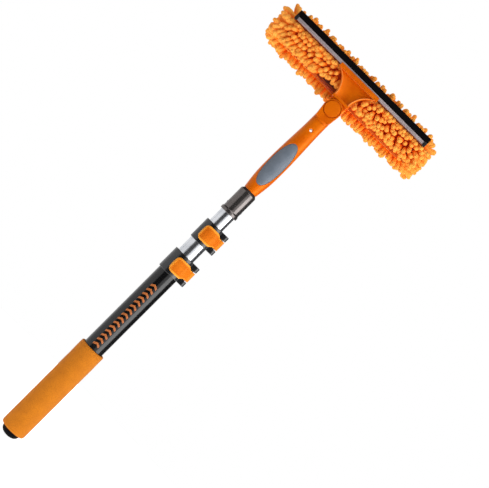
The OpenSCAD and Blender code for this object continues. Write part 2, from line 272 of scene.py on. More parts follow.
class Value:
    """A socket of a shader. Sums, products and the like add the Math nodes that work them out."""

    def __init__(self, paint, socket):
        self.paint, self.socket = paint, socket

    def math(self, operation, *terms):
        return self.paint.node("ShaderNodeMath", {"operation": operation}, terms)

    def __abs__(self):
        return self.math("ABSOLUTE", self)

    def fraction(self):
        return self.math("FRACT", self)

    def sine(self):
        return self.math("SINE", self)

    def ramp(self, low, high):
        """0 at low and under, 1 at high and over, smooth between."""
        return self.paint.node("ShaderNodeMapRange", {"interpolation_type": "SMOOTHSTEP"},
                               {"Value": self, "From Min": low, "From Max": high})


OPERATIONS = {"add": "ADD", "radd": "ADD", "sub": "SUBTRACT", "mul": "MULTIPLY", "rmul": "MULTIPLY",
              "truediv": "DIVIDE", "lt": "LESS_THAN", "gt": "GREATER_THAN"}
for sign, operation in OPERATIONS.items():
    setattr(Value, f"__{sign}__", lambda self, other, kind=operation: self.math(kind, self, other))


class Paint:
    """A procedural finish: its material, its surface shader and the nodes that feed it."""

    def __init__(self, name, **constants):
        self.material = bpy.data.materials.new(name)
        self.material.use_nodes = True
        self.tree = self.material.node_tree
        self.shader = self.tree.nodes["Principled BSDF"]
        for socket, value in constants.items():
            self.shader.inputs[socket.replace("_", " ")].default_value = value
        self.place = self.node("ShaderNodeTexCoord", output=3)

    def put(self, socket, value):
        if isinstance(value, Value):
            self.tree.links.new(value.socket, socket)
        else:
            socket.default_value = value

    def node(self, kind, settings=None, inputs=(), output=0):
        """Any node: its settings, then the values or links of its sockets, by name or in order."""
        made = self.tree.nodes.new(kind)
        for key, value in (settings or {}).items():
            setattr(made, key, value)
        named = inputs.items() if isinstance(inputs, dict) else enumerate(inputs)
        for key, value in named:
            self.put(made.inputs[key], value)
        return Value(self, made.outputs[output])

    def axis(self, letter):
        return self.node("ShaderNodeSeparateXYZ", inputs=[self.place], output="XYZ".index(letter))

    def attribute(self, name):
        return self.node("ShaderNodeAttribute", {"attribute_name": name}, output=2)

    def noise(self, per_metre, detail=2.0, stretch=(1, 1, 1)):
        """Noise with about that many cells to the metre, drawn out or squeezed by stretch."""
        where = self.node("ShaderNodeVectorMath", {"operation": "MULTIPLY"}, [self.place, stretch])
        return self.node("ShaderNodeTexNoise", inputs={"Vector": where, "Scale": per_metre, "Detail": detail})

    def blend(self, mask, first, second):
        return self.node("ShaderNodeMix", {"data_type": "RGBA"}, {0: mask, 6: first, 7: second}, output=2)

    def use(self, **feeds):
        """Feeds values that change over the surface into the surface shader."""
        for socket, value in feeds.items():
            self.put(self.shader.inputs[socket.replace("_", " ")], value)

    def relief(self, height, depth):
        """Bumps the surface by up to depth metres."""
        bump = self.node("ShaderNodeBump", inputs={"Strength": 1.0, "Distance": depth, "Height": height})
        self.put(self.shader.inputs["Normal"], bump)


def colour(hex_code):
    """A screen colour such as "F08A24" as linear light."""
    s = np.array([int(hex_code[i:i + 2], 16) for i in (0, 2, 4)]) / 255
    linear = np.where(s <= 0.04045, s / 12.92, ((s + 0.055) / 1.055) ** 2.4)
    return (*linear.tolist(), 1.0)


def moulded_finish(name, main, shade, gloss, rim=None, **constants):
    """Injection moulded plastic: a faint cloudiness, fine mould grain and slow changes of gloss. rim is
    the colour of a painted highlight, laid on the edges that a piece marks with its rim attribute."""
    paint = Paint(name, **constants)
    cloud, grain = paint.noise(60, 3), paint.noise(900, 2)
    tone = paint.blend(cloud.ramp(0.35, 0.7), colour(main), colour(shade))
    if rim:
        # Painted highlight: where a piece marks its edges with the rim attribute, the tone turns to the rim colour
        tone = paint.blend(paint.attribute("rim"), tone, colour(rim))
    paint.use(Base_Color=tone, Roughness=gloss + 0.08 * cloud + 0.05 * grain)
    paint.relief(grain + 0.5 * paint.noise(250, 2), 0.003 * MM)
    return paint.material


def drawn_metal_finish(name, main, gloss):
    """Drawn and anodised metal: hair lines that run along Z."""
    paint = Paint(name, Metallic=1.0)
    lines, patches = paint.noise(2600, 2, (1, 1, 0.01)), paint.noise(40, 3)
    paint.use(Base_Color=paint.blend(patches.ramp(0.3, 0.7), colour(main), colour("C9CCD2")),
              Roughness=gloss + 0.1 * lines + 0.06 * patches)
    paint.relief(lines, 0.004 * MM)
    return paint.material


def foam_finish():
    """Closed-cell foam: open pores cut at its skin, painted darker as shade inside them, and soft blotches."""
    paint = Paint("grip foam", Sheen_Weight=0.04, Sheen_Roughness=0.6, Specular_IOR_Level=0.12)
    pores = paint.node("ShaderNodeTexVoronoi", {"feature": "F1"}, {"Vector": paint.place, "Scale": 1100})
    blotch, fine = paint.noise(70, 4), paint.noise(1500, 3)
    # Painted shade: the pores are darker towards their middles
    deep = paint.blend(pores.ramp(0.0, 0.45), colour("844208"), colour("CA7716"))
    paint.use(Base_Color=paint.blend(0.25 * blotch.ramp(0.35, 0.75), deep, colour("A05610")),
              Roughness=0.78 + 0.15 * fine)
    paint.relief(pores.ramp(0.0, 0.5) + 0.5 * fine, 0.12 * MM)
    return paint.material


def printed_tube_finish():
    """Gloss black powder coat. A column of plain chevrons is printed on its front: bands of the height
    plus the distance from the column's middle line, wrapped every pitch."""
    paint = Paint("black tube", Specular_IOR_Level=0.3, Coat_Weight=0.45, Coat_Roughness=0.08)
    middle, half, pitch = -0.5 * MM, 5.4 * MM, 8 * MM
    low, count = GRIP.hi.z + 9 * MM, 15
    slope, share = 0.55, 0.42
    across = abs(paint.axis("X") - middle)
    order = (paint.axis("Z") + slope * across - low) / pitch
    column = (order > 0) * (order < count) * (paint.axis("Y") < 0.0)
    printed = (order.fraction() < share) * (across < half) * column
    peel = paint.noise(500, 3)
    black = paint.blend(paint.noise(80, 2), colour("050506"), colour("09090B"))
    paint.use(Base_Color=paint.blend(printed, black, colour("B46630")),
              Roughness=0.2 + 0.08 * peel + 0.2 * printed)
    paint.relief(peel + 2.0 * printed, 0.008 * MM)
    return paint.material


def rubber_finish(name, main, shade, gloss, specular=0.4):
    """Moulded rubber: a slow bloom of colour and a fine tooth."""
    paint = Paint(name, Specular_IOR_Level=specular)
    fine, bloom = paint.noise(1800, 3), paint.noise(90, 4)
    paint.use(Base_Color=paint.blend(bloom.ramp(0.3, 0.75), colour(main), colour(shade)),
              Roughness=gloss + 0.12 * fine)
    paint.relief(fine, 0.008 * MM)
    return paint.material


def chenille_finish():
    """Microfibre strands, each its own tint: darker at the root, as painted shade where they crowd, and pale and
    fuzzy at the tip, as a painted highlight.
    A little painted glow stands for the light that passes through the fibres."""
    paint = Paint("chenille strand", Emission_Strength=0.21, Sheen_Weight=0.15, Sheen_Roughness=0.5,
                  Sheen_Tint=colour("FFB060"), Specular_IOR_Level=0.1)
    along, tint = paint.attribute("along"), paint.attribute("tint")
    fibre, clump = paint.noise(2600, 3), paint.noise(700, 3)
    # Painted shade towards the roots, painted highlight towards the tips
    low = paint.blend(along.ramp(0.1, 0.45), colour("D03C06"), colour("FF8216"))
    body = paint.blend(along.ramp(0.45, 0.95), low, colour("FFB450"))
    toned = paint.blend(0.35 * tint, body, colour("FF7A10"))
    # Painted glow, redder at the root; strands marked past 1 along glow lighter still, a painted highlight at the
    # sleeve's ends
    glow = paint.blend(along.ramp(0.1, 0.7), colour("E8480A"), colour("A0500C"))
    paint.use(Base_Color=paint.blend(0.25 * clump.ramp(0.45, 0.8), toned, colour("E8640C")),
              Emission_Color=paint.blend(along.ramp(1.0, 1.6), glow, colour("FFA048")),
              Roughness=0.85 + 0.1 * fibre)
    paint.relief(fibre + 1.2 * clump, 0.45 * MM)
    return paint.material


def cloth_finish(name, main, shade, weave_mm, shadow_ramps=()):
    """Woven tape: threads over and under, as two crossed sine waves of the distance along and across.
    shadow_ramps lays a painted shadow over a mouth, bounded by ramps along the axes, each from none to full, in
    millimetres."""
    paint = Paint(name, Sheen_Weight=0.3, Sheen_Roughness=0.5, Specular_IOR_Level=0.15)
    rate = 2 * PI / (weave_mm * MM)
    warp = (paint.axis("X") * rate).sine()
    weft = ((paint.axis("Z") + paint.axis("Y")) * rate).sine()
    weave, wear = warp * weft, paint.noise(120, 3)
    cloth = paint.blend(0.5 + 0.4 * weave, colour(main), colour(shade))
    sunk = 0.95
    for letter, low, high in shadow_ramps:
        sunk = sunk * paint.axis(letter).ramp(low * MM, high * MM)
    if shadow_ramps:
        # Painted shadow: the backing turns near black in the mouth
        cloth = paint.blend(sunk, cloth, colour("3A0A02"))
    paint.use(Base_Color=cloth, Roughness=0.85 + 0.1 * wear)
    paint.relief(weave + wear, 0.15 * MM)
    return paint.material


FOAM = foam_finish()
BLACK_TUBE = printed_tube_finish()
BRIGHT_TUBE = drawn_metal_finish("bright tube", "E4E6EA", 0.16)
CLAMP_BLACK = moulded_finish("clamp black", "090A0D", "0F1013", 0.2, Specular_IOR_Level=0.8)
AMBER_GLOSS = {"Specular_IOR_Level": 1.0, "Specular_Tint": colour("FFA040")}
# F49E34 is the rim colour: a painted highlight along the lever paddle's edges
LEVER_ORANGE = moulded_finish("lever orange", "DC7418", "D06612", 0.32, "F49E34",
                              **{**AMBER_GLOSS, "Specular_IOR_Level": 0.35})
COLLAR_GREY = moulded_finish("collar grey", "706A68", "645E5C", 0.15, Metallic=0.85)
COLLAR_DARK = moulded_finish("collar shoulder", "161414", "100E0E", 0.5)
HANDLE_ORANGE = moulded_finish("handle orange", "E06A06", "D45C04", 0.28, **AMBER_GLOSS)
# F8A050 is the rim colour: a painted highlight along the crests of the fan's ribs
YOKE_ORANGE = moulded_finish("yoke orange", "E06A06", "D45C04", 0.28, "F8A050", **AMBER_GLOSS)
INSERT_GREY = rubber_finish("insert grey", "656E79", "6F7782", 0.42)
CAP_RUBBER = rubber_finish("cap rubber", "030203", "060506", 0.6, 0.06)
BLADE_RUBBER = rubber_finish("blade rubber", "070405", "0A0607", 0.55, 0.05)
CLIP_BLACK = moulded_finish("clip black", "060607", "0A0A0B", 0.4)
STRIP_METAL = moulded_finish("strip metal", "AC9E9F", "9C9092", 0.4, Metallic=0.25)
STEEL = drawn_metal_finish("zinc steel", "B9BCC2", 0.3)
# The bar shows only inside the sleeve's mouth, so its orange is darkened as painted shade
BAR_PAINTED_SHADE = moulded_finish("bar orange", "9A3C06", "8A3404", 0.45)
NYLON = moulded_finish("dark nylon", "2A2B2F", "36373C", 0.45)
ACETAL = moulded_finish("white acetal", "DADAD2", "CFCFC6", 0.35)
CHENILLE = chenille_finish()
# A painted shadow over the sleeve's open mouth beside the yoke, on the left
MOUTH_SHADOW = (("X", -50, -40), ("X", 8, -2), ("Z", PIVOT_Z / MM + 31, PIVOT_Z / MM + 27), ("Y", 14, 9))
PAD_CLOTH = cloth_finish("pad backing", "D04A0E", "A4300A", 1.6, MOUTH_SHADOW)
HEM_CLOTH = cloth_finish("hem tape", "E86E18", "C04C0C", 1.4)


# ---- Handing a piece to the frame ----

def place(thing, finish, body, slot, *nodes):
    """Gives a piece its finish and its body, and hides the CAD nodes that it stands for. slot, its slot in the
    record, is not used.
    """
    thing.data.materials.clear()
    thing.data.materials.append(finish)
    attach(thing, body)
    if nodes:
        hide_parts(*nodes)
    return thing


# ---- Butt, grip and tubes ----

def end_cap():
    """A full dome, r = R (sin a)^0.8 and z = foot - H (cos a)^0.9, that springs from a short skirt."""
    rim_r, foot = 14.7 * MM, GRIP.lo.z
    height, top = foot - CAP.lo.z, foot + 4 * MM
    a = np.linspace(0, PI / 2, 22)
    dome = np.stack([rim_r * np.sin(a) ** 0.8, foot - height * np.cos(a) ** 0.9], 1)
    corners = [(rim_r, foot - 0.1 * MM), (rim_r, foot + 2 * MM), (rim_r - MM, top), (0.5 * MM, top)]
    skirt = soften(corners, 0.5 * MM)
    return turned("butt_cap", np.vstack([dome[1:], skirt[1:]]))


def foam_sleeve():
    """The grip's foam: a turned sleeve whose radius swells and dips by a tenth of a millimetre."""
    outer, inner = GRIP.hi.x, BASE_TUBE.hi.x
    corners = [(inner, GRIP.lo.z), (outer - 1.2 * MM, GRIP.lo.z), (outer, GRIP.lo.z + 3 * MM),
               *[(outer, z) for z in np.linspace(GRIP.lo.z + 9 * MM, GRIP.hi.z - 9 * MM, 30)],
               (outer, GRIP.hi.z), (inner, GRIP.hi.z)]
    rounded = soften(corners, 2 * MM, closed=True)
    sleeve = turned("foam_sleeve", rounded, closed=True, steps=128)
    points = points_of(sleeve)
    a, z = np.arctan2(points[:, 1], points[:, 0]), points[:, 2] / MM
    swell = 0.12 * np.sin(3 * a + z / 13) * np.sin(z / 9) + 0.06 * np.sin(7 * a - z / 5)
    outside = np.hypot(points[:, 0], points[:, 1]) > outer - 2 * MM
    points[:, :2] *= 1 + (outside * (swell - 0.15) * MM / outer)[:, None]
    move_points(sleeve, points)
    return finish_mesh(sleeve)


def sliding_tube(name, node):
    """The tube that a CAD node holds, with fine steps and softened rims."""
    tube, wall, edge = Span(node), 1.2 * MM, 0.4 * MM
    low, high, outer, inner = tube.lo.z, tube.hi.z, tube.hi.x, tube.hi.x - wall
    corners = [(inner, low), (outer, low), (outer, high), (inner, high)]
    return turned(name, soften(corners, edge, closed=True), closed=True)


place(end_cap(), CAP_RUBBER, "pole_base", "cap_rubber", "end_cap")
foam = place(foam_sleeve(), FOAM, "pole_base", "grip_foam", "foam_grip")
place(sliding_tube("base_tube", "outer_tube"), BLACK_TUBE, "pole_base", "black_tube", "outer_tube")
place(sliding_tube("mid_tube", "middle_tube"), BRIGHT_TUBE, "middle_section", "bright_tube", "middle_tube")
place(sliding_tube("top_tube", "inner_tube"), BRIGHT_TUBE, "top_section", "bright_tube", "inner_tube")


# ---- Flip-lever clamps ----

def clamp_housing(name, node, hinge, slide_r, tube, liner):
    """A collar, two ears that carry the hinge, and a web behind them. It is bored for the tube that it is
    fixed on, for the liner above that and for the tube that slides through."""
    body = Span(node)
    r, low, high = -body.lo.x, body.lo.z, body.hi.z
    hx, hy = hinge[0], hinge[1]
    lug = body.hi.x - hx
    ear = [(hx, hy, lug), (hx - MM, hy + 6 * MM, 3 * MM), (6 * MM, r - 5 * MM, 3 * MM), (6 * MM, hy, lug)]
    web = [(hx - 3 * MM, hy + 7.5 * MM, 2 * MM), (r - 5 * MM, hy + 9 * MM, 2 * MM),
           (r - 6 * MM, hy + 5 * MM, 2 * MM)]
    edge, ear_tall, close, loose = 0.8 * MM, 8 * MM, 0.05 * MM, 0.5 * MM
    housing = moulded_prism(name, [(0, 0, r)], low, high, edge)
    parts = [
        moulded_prism("ear_low", ear, low, low + ear_tall, edge),
        moulded_prism("ear_high", ear, high - ear_tall, high, edge),
        moulded_prism("web", web, low + MM, high - MM, edge),
    ]
    combine(housing, parts)
    bores = ((tube.hi.x + close, low - MM, tube.hi.z), (liner.hi.x + close, tube.hi.z, liner.hi.z),
             (slide_r + loose, liner.hi.z, high + MM))
    outline = [(NEAR_AXIS, low - MM)]
    for bore_r, foot, top in bores:
        outline += [(bore_r, foot), (bore_r, top)]
    combine(housing, [turned("bore", np.array(outline + [(NEAR_AXIS, high + MM)]))], "DIFFERENCE")
    return flatten_shading(housing)


def flip_lever(name, node, hinge, collar_r, start):
    """A paddle that hugs the collar. Its middle line runs round the collar and then straight into the
    hinge barrel; across it, the section is a rounded bar whose height narrows from paddle to neck."""
    lever = Span(node)
    mid, half_h = lever.middle.z, lever.size.z / 2
    hx, hy, barrel_r = hinge[0], hinge[1], lever.hi.x - hinge[0]
    thick, neck_h = 3.6 * MM, 8 * MM
    track = collar_r + 0.6 * MM + thick / 2
    start, leave = math.radians(start), math.radians(-38)
    a = np.linspace(start, leave, 44)
    arc = np.stack([track * np.cos(a), track * np.sin(a)], 1)
    exit_way = np.array([-math.sin(leave), math.cos(leave)])
    goal = np.array([hx, hy - 1.4 * MM])
    t = np.linspace(0, 1, 16)[1:, None]
    bend = arc[-1] + exit_way * 4 * MM
    run = (1 - t) ** 2 * arc[-1] + 2 * t * (1 - t) * bend + t ** 2 * goal
    line = np.vstack([arc, run])
    way = unit(np.gradient(line, axis=0))
    out = np.stack([way[:, 1], -way[:, 0]], 1)
    s = np.concatenate([[0], np.cumsum(np.linalg.norm(np.diff(line, axis=0), axis=1))])
    nose = np.sqrt(np.clip(1 - (1 - np.clip(s / (8 * MM), 0, 1)) ** 2.4, 0, 1))
    shoulder = smooth_step(s, 21 * MM, 30 * MM)
    half = (half_h * (1 - shoulder) + neck_h * shoulder) * (0.42 + 0.58 * nose)
    b, power = circle(96), 0.42
    up, deep = bowed(np.sin(b), power), bowed(np.cos(b), power)
    crown = 0.5 * MM * (1 - up ** 2) * (deep > 0)
    dish = 0.8 * MM * smooth_step(0.84 - np.abs(up), 0, 0.16) * (deep > 0.3)
    thumb = smooth_step(s, 2.6 * MM, 4.4 * MM) * (1 - smooth_step(s, 15 * MM, 20 * MM))
    hollow = np.outer(thumb, dish)
    tip = (0.35 + 0.65 * nose)[:, None]
    depth = tip * (deep * thick / 2 + crown)[None, :] - hollow
    rings = np.empty((len(line), len(b), 3))
    rings[..., :2] = line[:, None] + out[:, None] * depth[..., None]
    rings[..., 2] = mid + half[:, None] * up[None, :]
    paddle = skin(name, rings)
    barrel = moulded_prism("barrel", [(hx, hy, barrel_r)], mid - neck_h, mid + neck_h, 0.7 * MM)
    combine(paddle, [barrel])
    # Marks a painted highlight on the paddle's upper and lower edges and its left end, weaker on the hinge barrel
    points = points_of(paddle)
    at = (np.arctan2(points[:, 1], points[:, 0]) - start) * track
    high_low = np.abs(points[:, 2] - mid) / np.interp(at, s, half)
    rim = np.maximum(smooth_step(high_low, 0.7, 0.88), 1 - smooth_step(at, 2 * MM, 4 * MM))
    mark(paddle, "rim", rim * np.where(at > s[-1] - 4 * MM, 0.4, 1))
    return paddle


CLAMPS = (("lower", "pole_base", "lower_lever", "outer_tube", "middle_tube", -107),
          ("upper", "middle_section", "upper_lever", "middle_tube", "inner_tube", -119))
for size, body, lever_body, tube, next_tube, start in CLAMPS:
    pin = place_of(f"{size}_lever_hinge")
    clamp = f"{size}_clamp_body"
    liner = Span(f"{size}_clamp_liner")
    place(clamp_housing(f"{size}_clamp_housing", clamp, pin, Span(next_tube).hi.x, Span(tube), liner),
          CLAMP_BLACK, body, "clamp_plastic", clamp)
    place(flip_lever(f"{size}_flip_lever", f"{size}_clamp_lever", pin, -Span(clamp).lo.x, start),
          LEVER_ORANGE, lever_body, "lever_plastic", f"{size}_clamp_lever")


# ---- Tip collar ----

def collar():
    """A turned sleeve: flange, long body and chamfered shoulder."""
    inner, low, high = Span("inner_tube").hi.x, COLLAR.lo.z, COLLAR.hi.z
    flange_r, body_r, neck_r, bore_r = COLLAR.hi.x, 13.2 * MM, 10 * MM, 9.5 * MM
    corners = [(inner, low), (flange_r, low), (flange_r, low + 4.2 * MM), (body_r + 0.5 * MM, low + 5.5 * MM),
               (body_r, low + 6.2 * MM), (body_r, high - 3.6 * MM), (neck_r, high), (bore_r, high),
               (bore_r, high - 8 * MM), (inner, high - 8 * MM)]
    return turned("collar", soften(corners, 0.7 * MM, closed=True), closed=True)


def paint_shoulder(sleeve):
    """Gives the collar's chamfered shoulder and bore the dark finish of its seal."""
    sleeve.data.materials.append(COLLAR_DARK)
    for face in sleeve.data.polygons:
        face.material_index = int(face.center.z > COLLAR.hi.z - 3.4 * MM)


paint_shoulder(place(collar(), COLLAR_GREY, "top_section", "collar_plastic", "tip_collar"))


# ---- Handle ----

# Height above the handle's foot, half width and half depth, in millimetres, and how square the section is
HANDLE_STATIONS = np.array([
    (0.0, 10.6, 10.6, 2.0), (1.2, 11.1, 11.0, 2.0), (11.5, 12.5, 11.0, 2.0), (22.0, 13.7, 11.0, 2.0),
    (33.0, 14.4, 11.0, 2.0), (47.0, 14.5, 11.0, 2.0), (61.0, 14.5, 11.0, 2.0), (82.0, 13.8, 11.0, 2.05),
    (105.0, 12.8, 10.6, 2.1), (120.0, 12.2, 10.2, 2.3), (135.8, 12.1, 10.0, 2.6),
])


def handle_section(z):
    """Half width, half depth and squareness of the handle at heights z, in metres: the stations joined by
    straight lines, averaged over 12 mm of height except at the two ends."""
    h, height = (z - HANDLE.lo.z) / MM, HANDLE_STATIONS[:, 0]
    ease = np.clip(np.minimum(h, height[-1] - h) / 3, 0, 1)
    made = []
    for column in HANDLE_STATIONS[:, 1:].T:
        smooth = sum(np.interp(h + d, height, column) for d in (-6, -3, 0, 3, 6)) / 5
        made.append(smooth * ease + np.interp(h, height, column) * (1 - ease))
    return made[0] * MM, made[1] * MM, made[2]


def ring_at(z, around):
    """Superellipse |x/w|^n + |y/d|^n = 1 of the handle at each height z."""
    wide, deep, square = (v[:, None] for v in handle_section(z))
    c, s = np.cos(around)[None, :], np.sin(around)[None, :]
    x, y = wide * bowed(c, 2 / square), deep * bowed(s, 2 / square)
    return np.stack([x, y, z[:, None] + 0 * x], -1)


INSERT_HALF = (12.1 * MM, OVAL.size.z / 2)
INSERT_SQUARE = 2.3


def oval_distance(x, z, grow=0.0):
    """Under 1 inside the soft insert's superellipse, drawn out by grow."""
    across = np.abs(x / (INSERT_HALF[0] + grow)) ** INSERT_SQUARE
    along = np.abs((z - OVAL.middle.z) / (INSERT_HALF[1] + grow)) ** INSERT_SQUARE
    return (across + along) ** (1 / INSERT_SQUARE)


def handle_shell():
    """The handle's skin, sunk by a millimetre where the two soft inserts sit, with the hang hole through it
    and the socket in its foot."""
    z = np.concatenate([[HANDLE.lo.z + 0.01 * MM], np.linspace(HANDLE.lo.z + 0.5 * MM, HANDLE.hi.z, 220)])
    rings = ring_at(z, circle(144))
    away = oval_distance(rings[..., 0], rings[..., 2], 0.35 * MM)
    sunk = MM * (1 - smooth_step(away, 0.985, 1.0)) * (np.abs(rings[..., 1]) > 3 * MM)
    rings[..., 1] -= np.sign(rings[..., 1]) * sunk
    shell = skin("handle_shell", rings, sharp=50)
    r, rim_r = 2.2 * MM, 3.2 * MM
    half = [(NEAR_AXIS, 12 * MM), (rim_r, 12 * MM), (rim_r, 10.1 * MM), (r, 9.4 * MM)]
    countersink = soften([(x, -y) for x, y in half] + half[::-1], 0.2 * MM)
    drill = turned("drill", countersink, along="Y", centre=(0, 0, HANG_Z), steps=48)
    socket = plug("socket", 9.6 * MM, HANDLE.lo.z - MM, HANDLE.lo.z + 25 * MM, steps=64)
    return combine(shell, [drill, socket], "DIFFERENCE")


def soft_insert(name, side):
    """A thin oval shell over the handle's front or back: polar lines of the oval, laid on the handle's
    superellipse, crowned by a quarter of a millimetre and rolled under at its rim."""
    ring, power = circle(120)[None, :], 2 / INSERT_SQUARE
    flat, rim = 0.93, 0.07
    edge = flat + rim * np.sin(np.linspace(0.1, PI / 2, 8))
    out = np.concatenate([np.linspace(0.02, flat, 26), edge])[:, None]
    x = INSERT_HALF[0] * out * bowed(np.cos(ring), power)
    z = OVAL.middle.z + INSERT_HALF[1] * out * bowed(np.sin(ring), power)
    wide, deep, square = (v.reshape(z.shape) for v in handle_section(z.ravel()))
    front = deep * (1 - np.clip(np.abs(x) / wide, 0, 0.999) ** square) ** (1 / square)
    roll = 0.55 * MM * (1 - np.sqrt(np.clip(1 - ((out - flat) / rim).clip(0, 1) ** 2, 0, 1)))
    top = front + 0.25 * MM * (1 - out ** 6) - roll
    under = front - 0.95 * MM
    skin_top, skin_under = (np.stack([x, side * y, z], -1) for y in (top, under))
    return skin(name, np.concatenate([skin_top, skin_under[::-1]]), sharp=60)


place(handle_shell(), HANDLE_ORANGE, "top_section", "handle_plastic", "handle_body")
place(soft_insert("insert_front", -1), INSERT_GREY, "top_section", "soft_insert", "handle_grip_front")
place(soft_insert("insert_back", 1), INSERT_GREY, "top_section", "soft_insert", "handle_grip_back")


# ---- Swivel neck ----

def neck():
    """The handle's upper end: a short loft that goes on from the handle, and two round cheeks."""
    foot, half, slot = HANDLE.hi.z, NECK.hi.y, 4.2 * MM
    z = np.concatenate([[foot + 0.3 * MM], np.linspace(foot + 0.7 * MM, PIVOT_Z - 9 * MM, 30)])
    rings = ring_at(np.full_like(z, foot), circle(96))
    rings[..., 2] = z[:, None]
    rings[0, :, :2] *= 0.97
    block = skin("neck", rings)
    cheek = [(0, PIVOT_Z, 14 * MM), *[(x, foot + 7 * MM, 3.4 * MM) for x in (-8.4 * MM, 8.4 * MM)]]
    combine(block, [moulded_prism("cheek", cheek, low, high, 0.9 * MM, "Y", 128)
                    for low, high in ((-half, -slot), (slot, half))])
    gap = rounded_box("gap", (-20 * MM, -slot, PIVOT_Z - 13.2 * MM), (20 * MM, slot, PIVOT_Z + 20 * MM),
                      MM, 0.01 * MM, "Y")
    inner, outer, floor_y = DISC.hi.x - 0.6 * MM, DISC.hi.x + 0.8 * MM, -half + 1.8 * MM
    ring = [(inner, -half - MM), (outer, -half - MM), (outer, floor_y), (inner, floor_y)]
    groove = turned("groove", np.array(ring), closed=True, along="Y", centre=(0, 0, PIVOT_Z))
    return flatten_shading(combine(block, [gap, groove], "DIFFERENCE"))


def cap_disc():
    """A low dome over the pivot's head, with a rolled rim."""
    r, back, front = DISC.hi.x - 0.5 * MM, DISC.hi.y, DISC.lo.y
    crown_h, rim = 0.6 * MM, 0.7 * MM
    a = np.linspace(0, PI / 2, 7)
    roll = np.stack([r - rim + rim * np.cos(a), front + crown_h + rim - rim * np.sin(a)], 1)
    crown_r = np.linspace(r - rim, 0.2 * MM, 14)[1:]
    crown = np.stack([crown_r, front + crown_h * (crown_r / (r - rim)) ** 2], 1)
    return turned("pivot_disc", np.vstack([[(0.2 * MM, back), (r, back)], roll, crown]), along="Y",
                  centre=(0, 0, PIVOT_Z))


place(neck(), HANDLE_ORANGE, "top_section", "handle_plastic", "swivel_neck")
place(cap_disc(), HANDLE_ORANGE, "top_section", "handle_plastic", "pivot_cap")


# ---- Yoke ----

FAN_FOOT, FAN_TOP = PIVOT_Z + 18.5 * MM, PIVOT_Z + 50 * MM
FAN_ARC, FAN_HALF = 34 * MM, 14.5 * MM          # the radius of its two sides, and its half width below them


def fan_half_width(z):
    """The fan's half width: straight below its foot, then w + R - sqrt(R^2 - h^2) up a round arc."""
    h = np.clip(z - FAN_FOOT, 0, 0.985 * FAN_ARC)
    return np.minimum(FAN_HALF + FAN_ARC - np.sqrt(FAN_ARC ** 2 - h ** 2), YOKE.hi.x)


def fan():
    """The fan's skin. Each level is a closed section: a flat back, round sides, a raised rib down each
    side, and a floor between them that dips towards the middle."""
    z = np.linspace(FAN_FOOT - 5 * MM, FAN_TOP + MM, 90)
    wide, across = fan_half_width(z)[:, None], np.linspace(-1, 1, 24)[None, 1:-1]
    rise = np.array([0.0, 0.3, 0.62, 0.88, 1.0, 1.0, 0.8, 0.35, 0.1, 0.0])
    reach = np.array([0.0, 0.25, 0.8, 1.5, 2.1, 2.5, 2.8, 3.0, 3.3, 3.8]) * MM
    floor_y, rib_y, chamfer = -3.6 * MM, YOKE.lo.y + 1.3 * MM, 0.4 * MM
    side_x = wide - reach[None, :]
    foot = floor_y + np.array([1.2] * 5 + [-0.2] * 5) * MM
    side_y = np.broadcast_to(foot + (rib_y - foot) * rise, side_x.shape)
    middle_x = (wide - reach[-1]) * -across
    middle_y = floor_y + 2.2 * MM - 2.4 * MM * across ** 2 + 0 * middle_x
    back_x = np.concatenate([-wide, -wide + chamfer, wide - chamfer, wide], 1)
    back_y = np.broadcast_to(np.array([-0.6, 0.0, 0.0, -0.6]) * MM, back_x.shape)
    x = np.concatenate([side_x, middle_x, -side_x[:, ::-1], back_x], 1)
    y = np.concatenate([side_y, middle_y, side_y[:, ::-1], back_y], 1)
    return skin("yoke_fan", np.stack([x, y, z[:, None] + 0 * x], -1), sharp=50, flat=True)


def yoke():
    """Fan, crossbar, tongue between the cheeks, jaw and lip that hold the channel, and the block behind."""
    bar_low, tongue = PIVOT_Z + 14.2 * MM, 3.6 * MM
    circles = [(0, PIVOT_Z, 12.4 * MM), (-8.4 * MM, bar_low, 4 * MM), (8.4 * MM, bar_low, 4 * MM)]
    boxes = (
        ("crossbar", (-FAN_HALF, -7.6 * MM, bar_low), (FAN_HALF, tongue, FAN_FOOT), 1.6, 1.2),
        ("jaw", (YOKE.lo.x, YOKE.lo.y, FAN_TOP - 0.4 * MM), (YOKE.hi.x, 0, STRIP.lo.z), 1.2, 0.9),
        ("lip", (YOKE.lo.x, STRIP.lo.y - MM, STRIP.lo.z - 3 * MM),
         (YOKE.hi.x, STRIP.lo.y + 0.1 * MM, STRIP.lo.z + 2.4 * MM), 1.0, 0.4),
        ("block", (-13 * MM, -MM, PIVOT_Z + 26 * MM), (13 * MM, YOKE.hi.y, FAN_TOP), 1.0, 0.3),
    )
    parts = [moulded_prism("tongue", circles, -tongue, tongue, 0.4 * MM, "Y", 96)]
    for name, low, high, corner, edge in boxes:
        parts.append(rounded_box(name, low, high, corner * MM, edge * MM, "Y"))
    body = combine(fan(), parts)
    pin_hole = plug("pin_hole", 3.05 * MM, -9 * MM, 9 * MM, along="Y", centre=(0, 0, PIVOT_Z), steps=48)
    flatten_shading(combine(body, [pin_hole], "DIFFERENCE"))
    # Marks a painted highlight along the crests of the fan's two ribs, on their front, between foot and top
    x, y, z = points_of(body).T
    crest = np.abs(np.abs(x) - fan_half_width(z) + 2.2 * MM) < 1.1 * MM
    mark(body, "rim", 0.75 * (crest & (y < -6 * MM) & (z > FAN_FOOT) & (z < FAN_TOP)))
    return body


place(yoke(), YOKE_ORANGE, "swivel_head", "handle_plastic", "yoke")


# ---- Squeegee ----

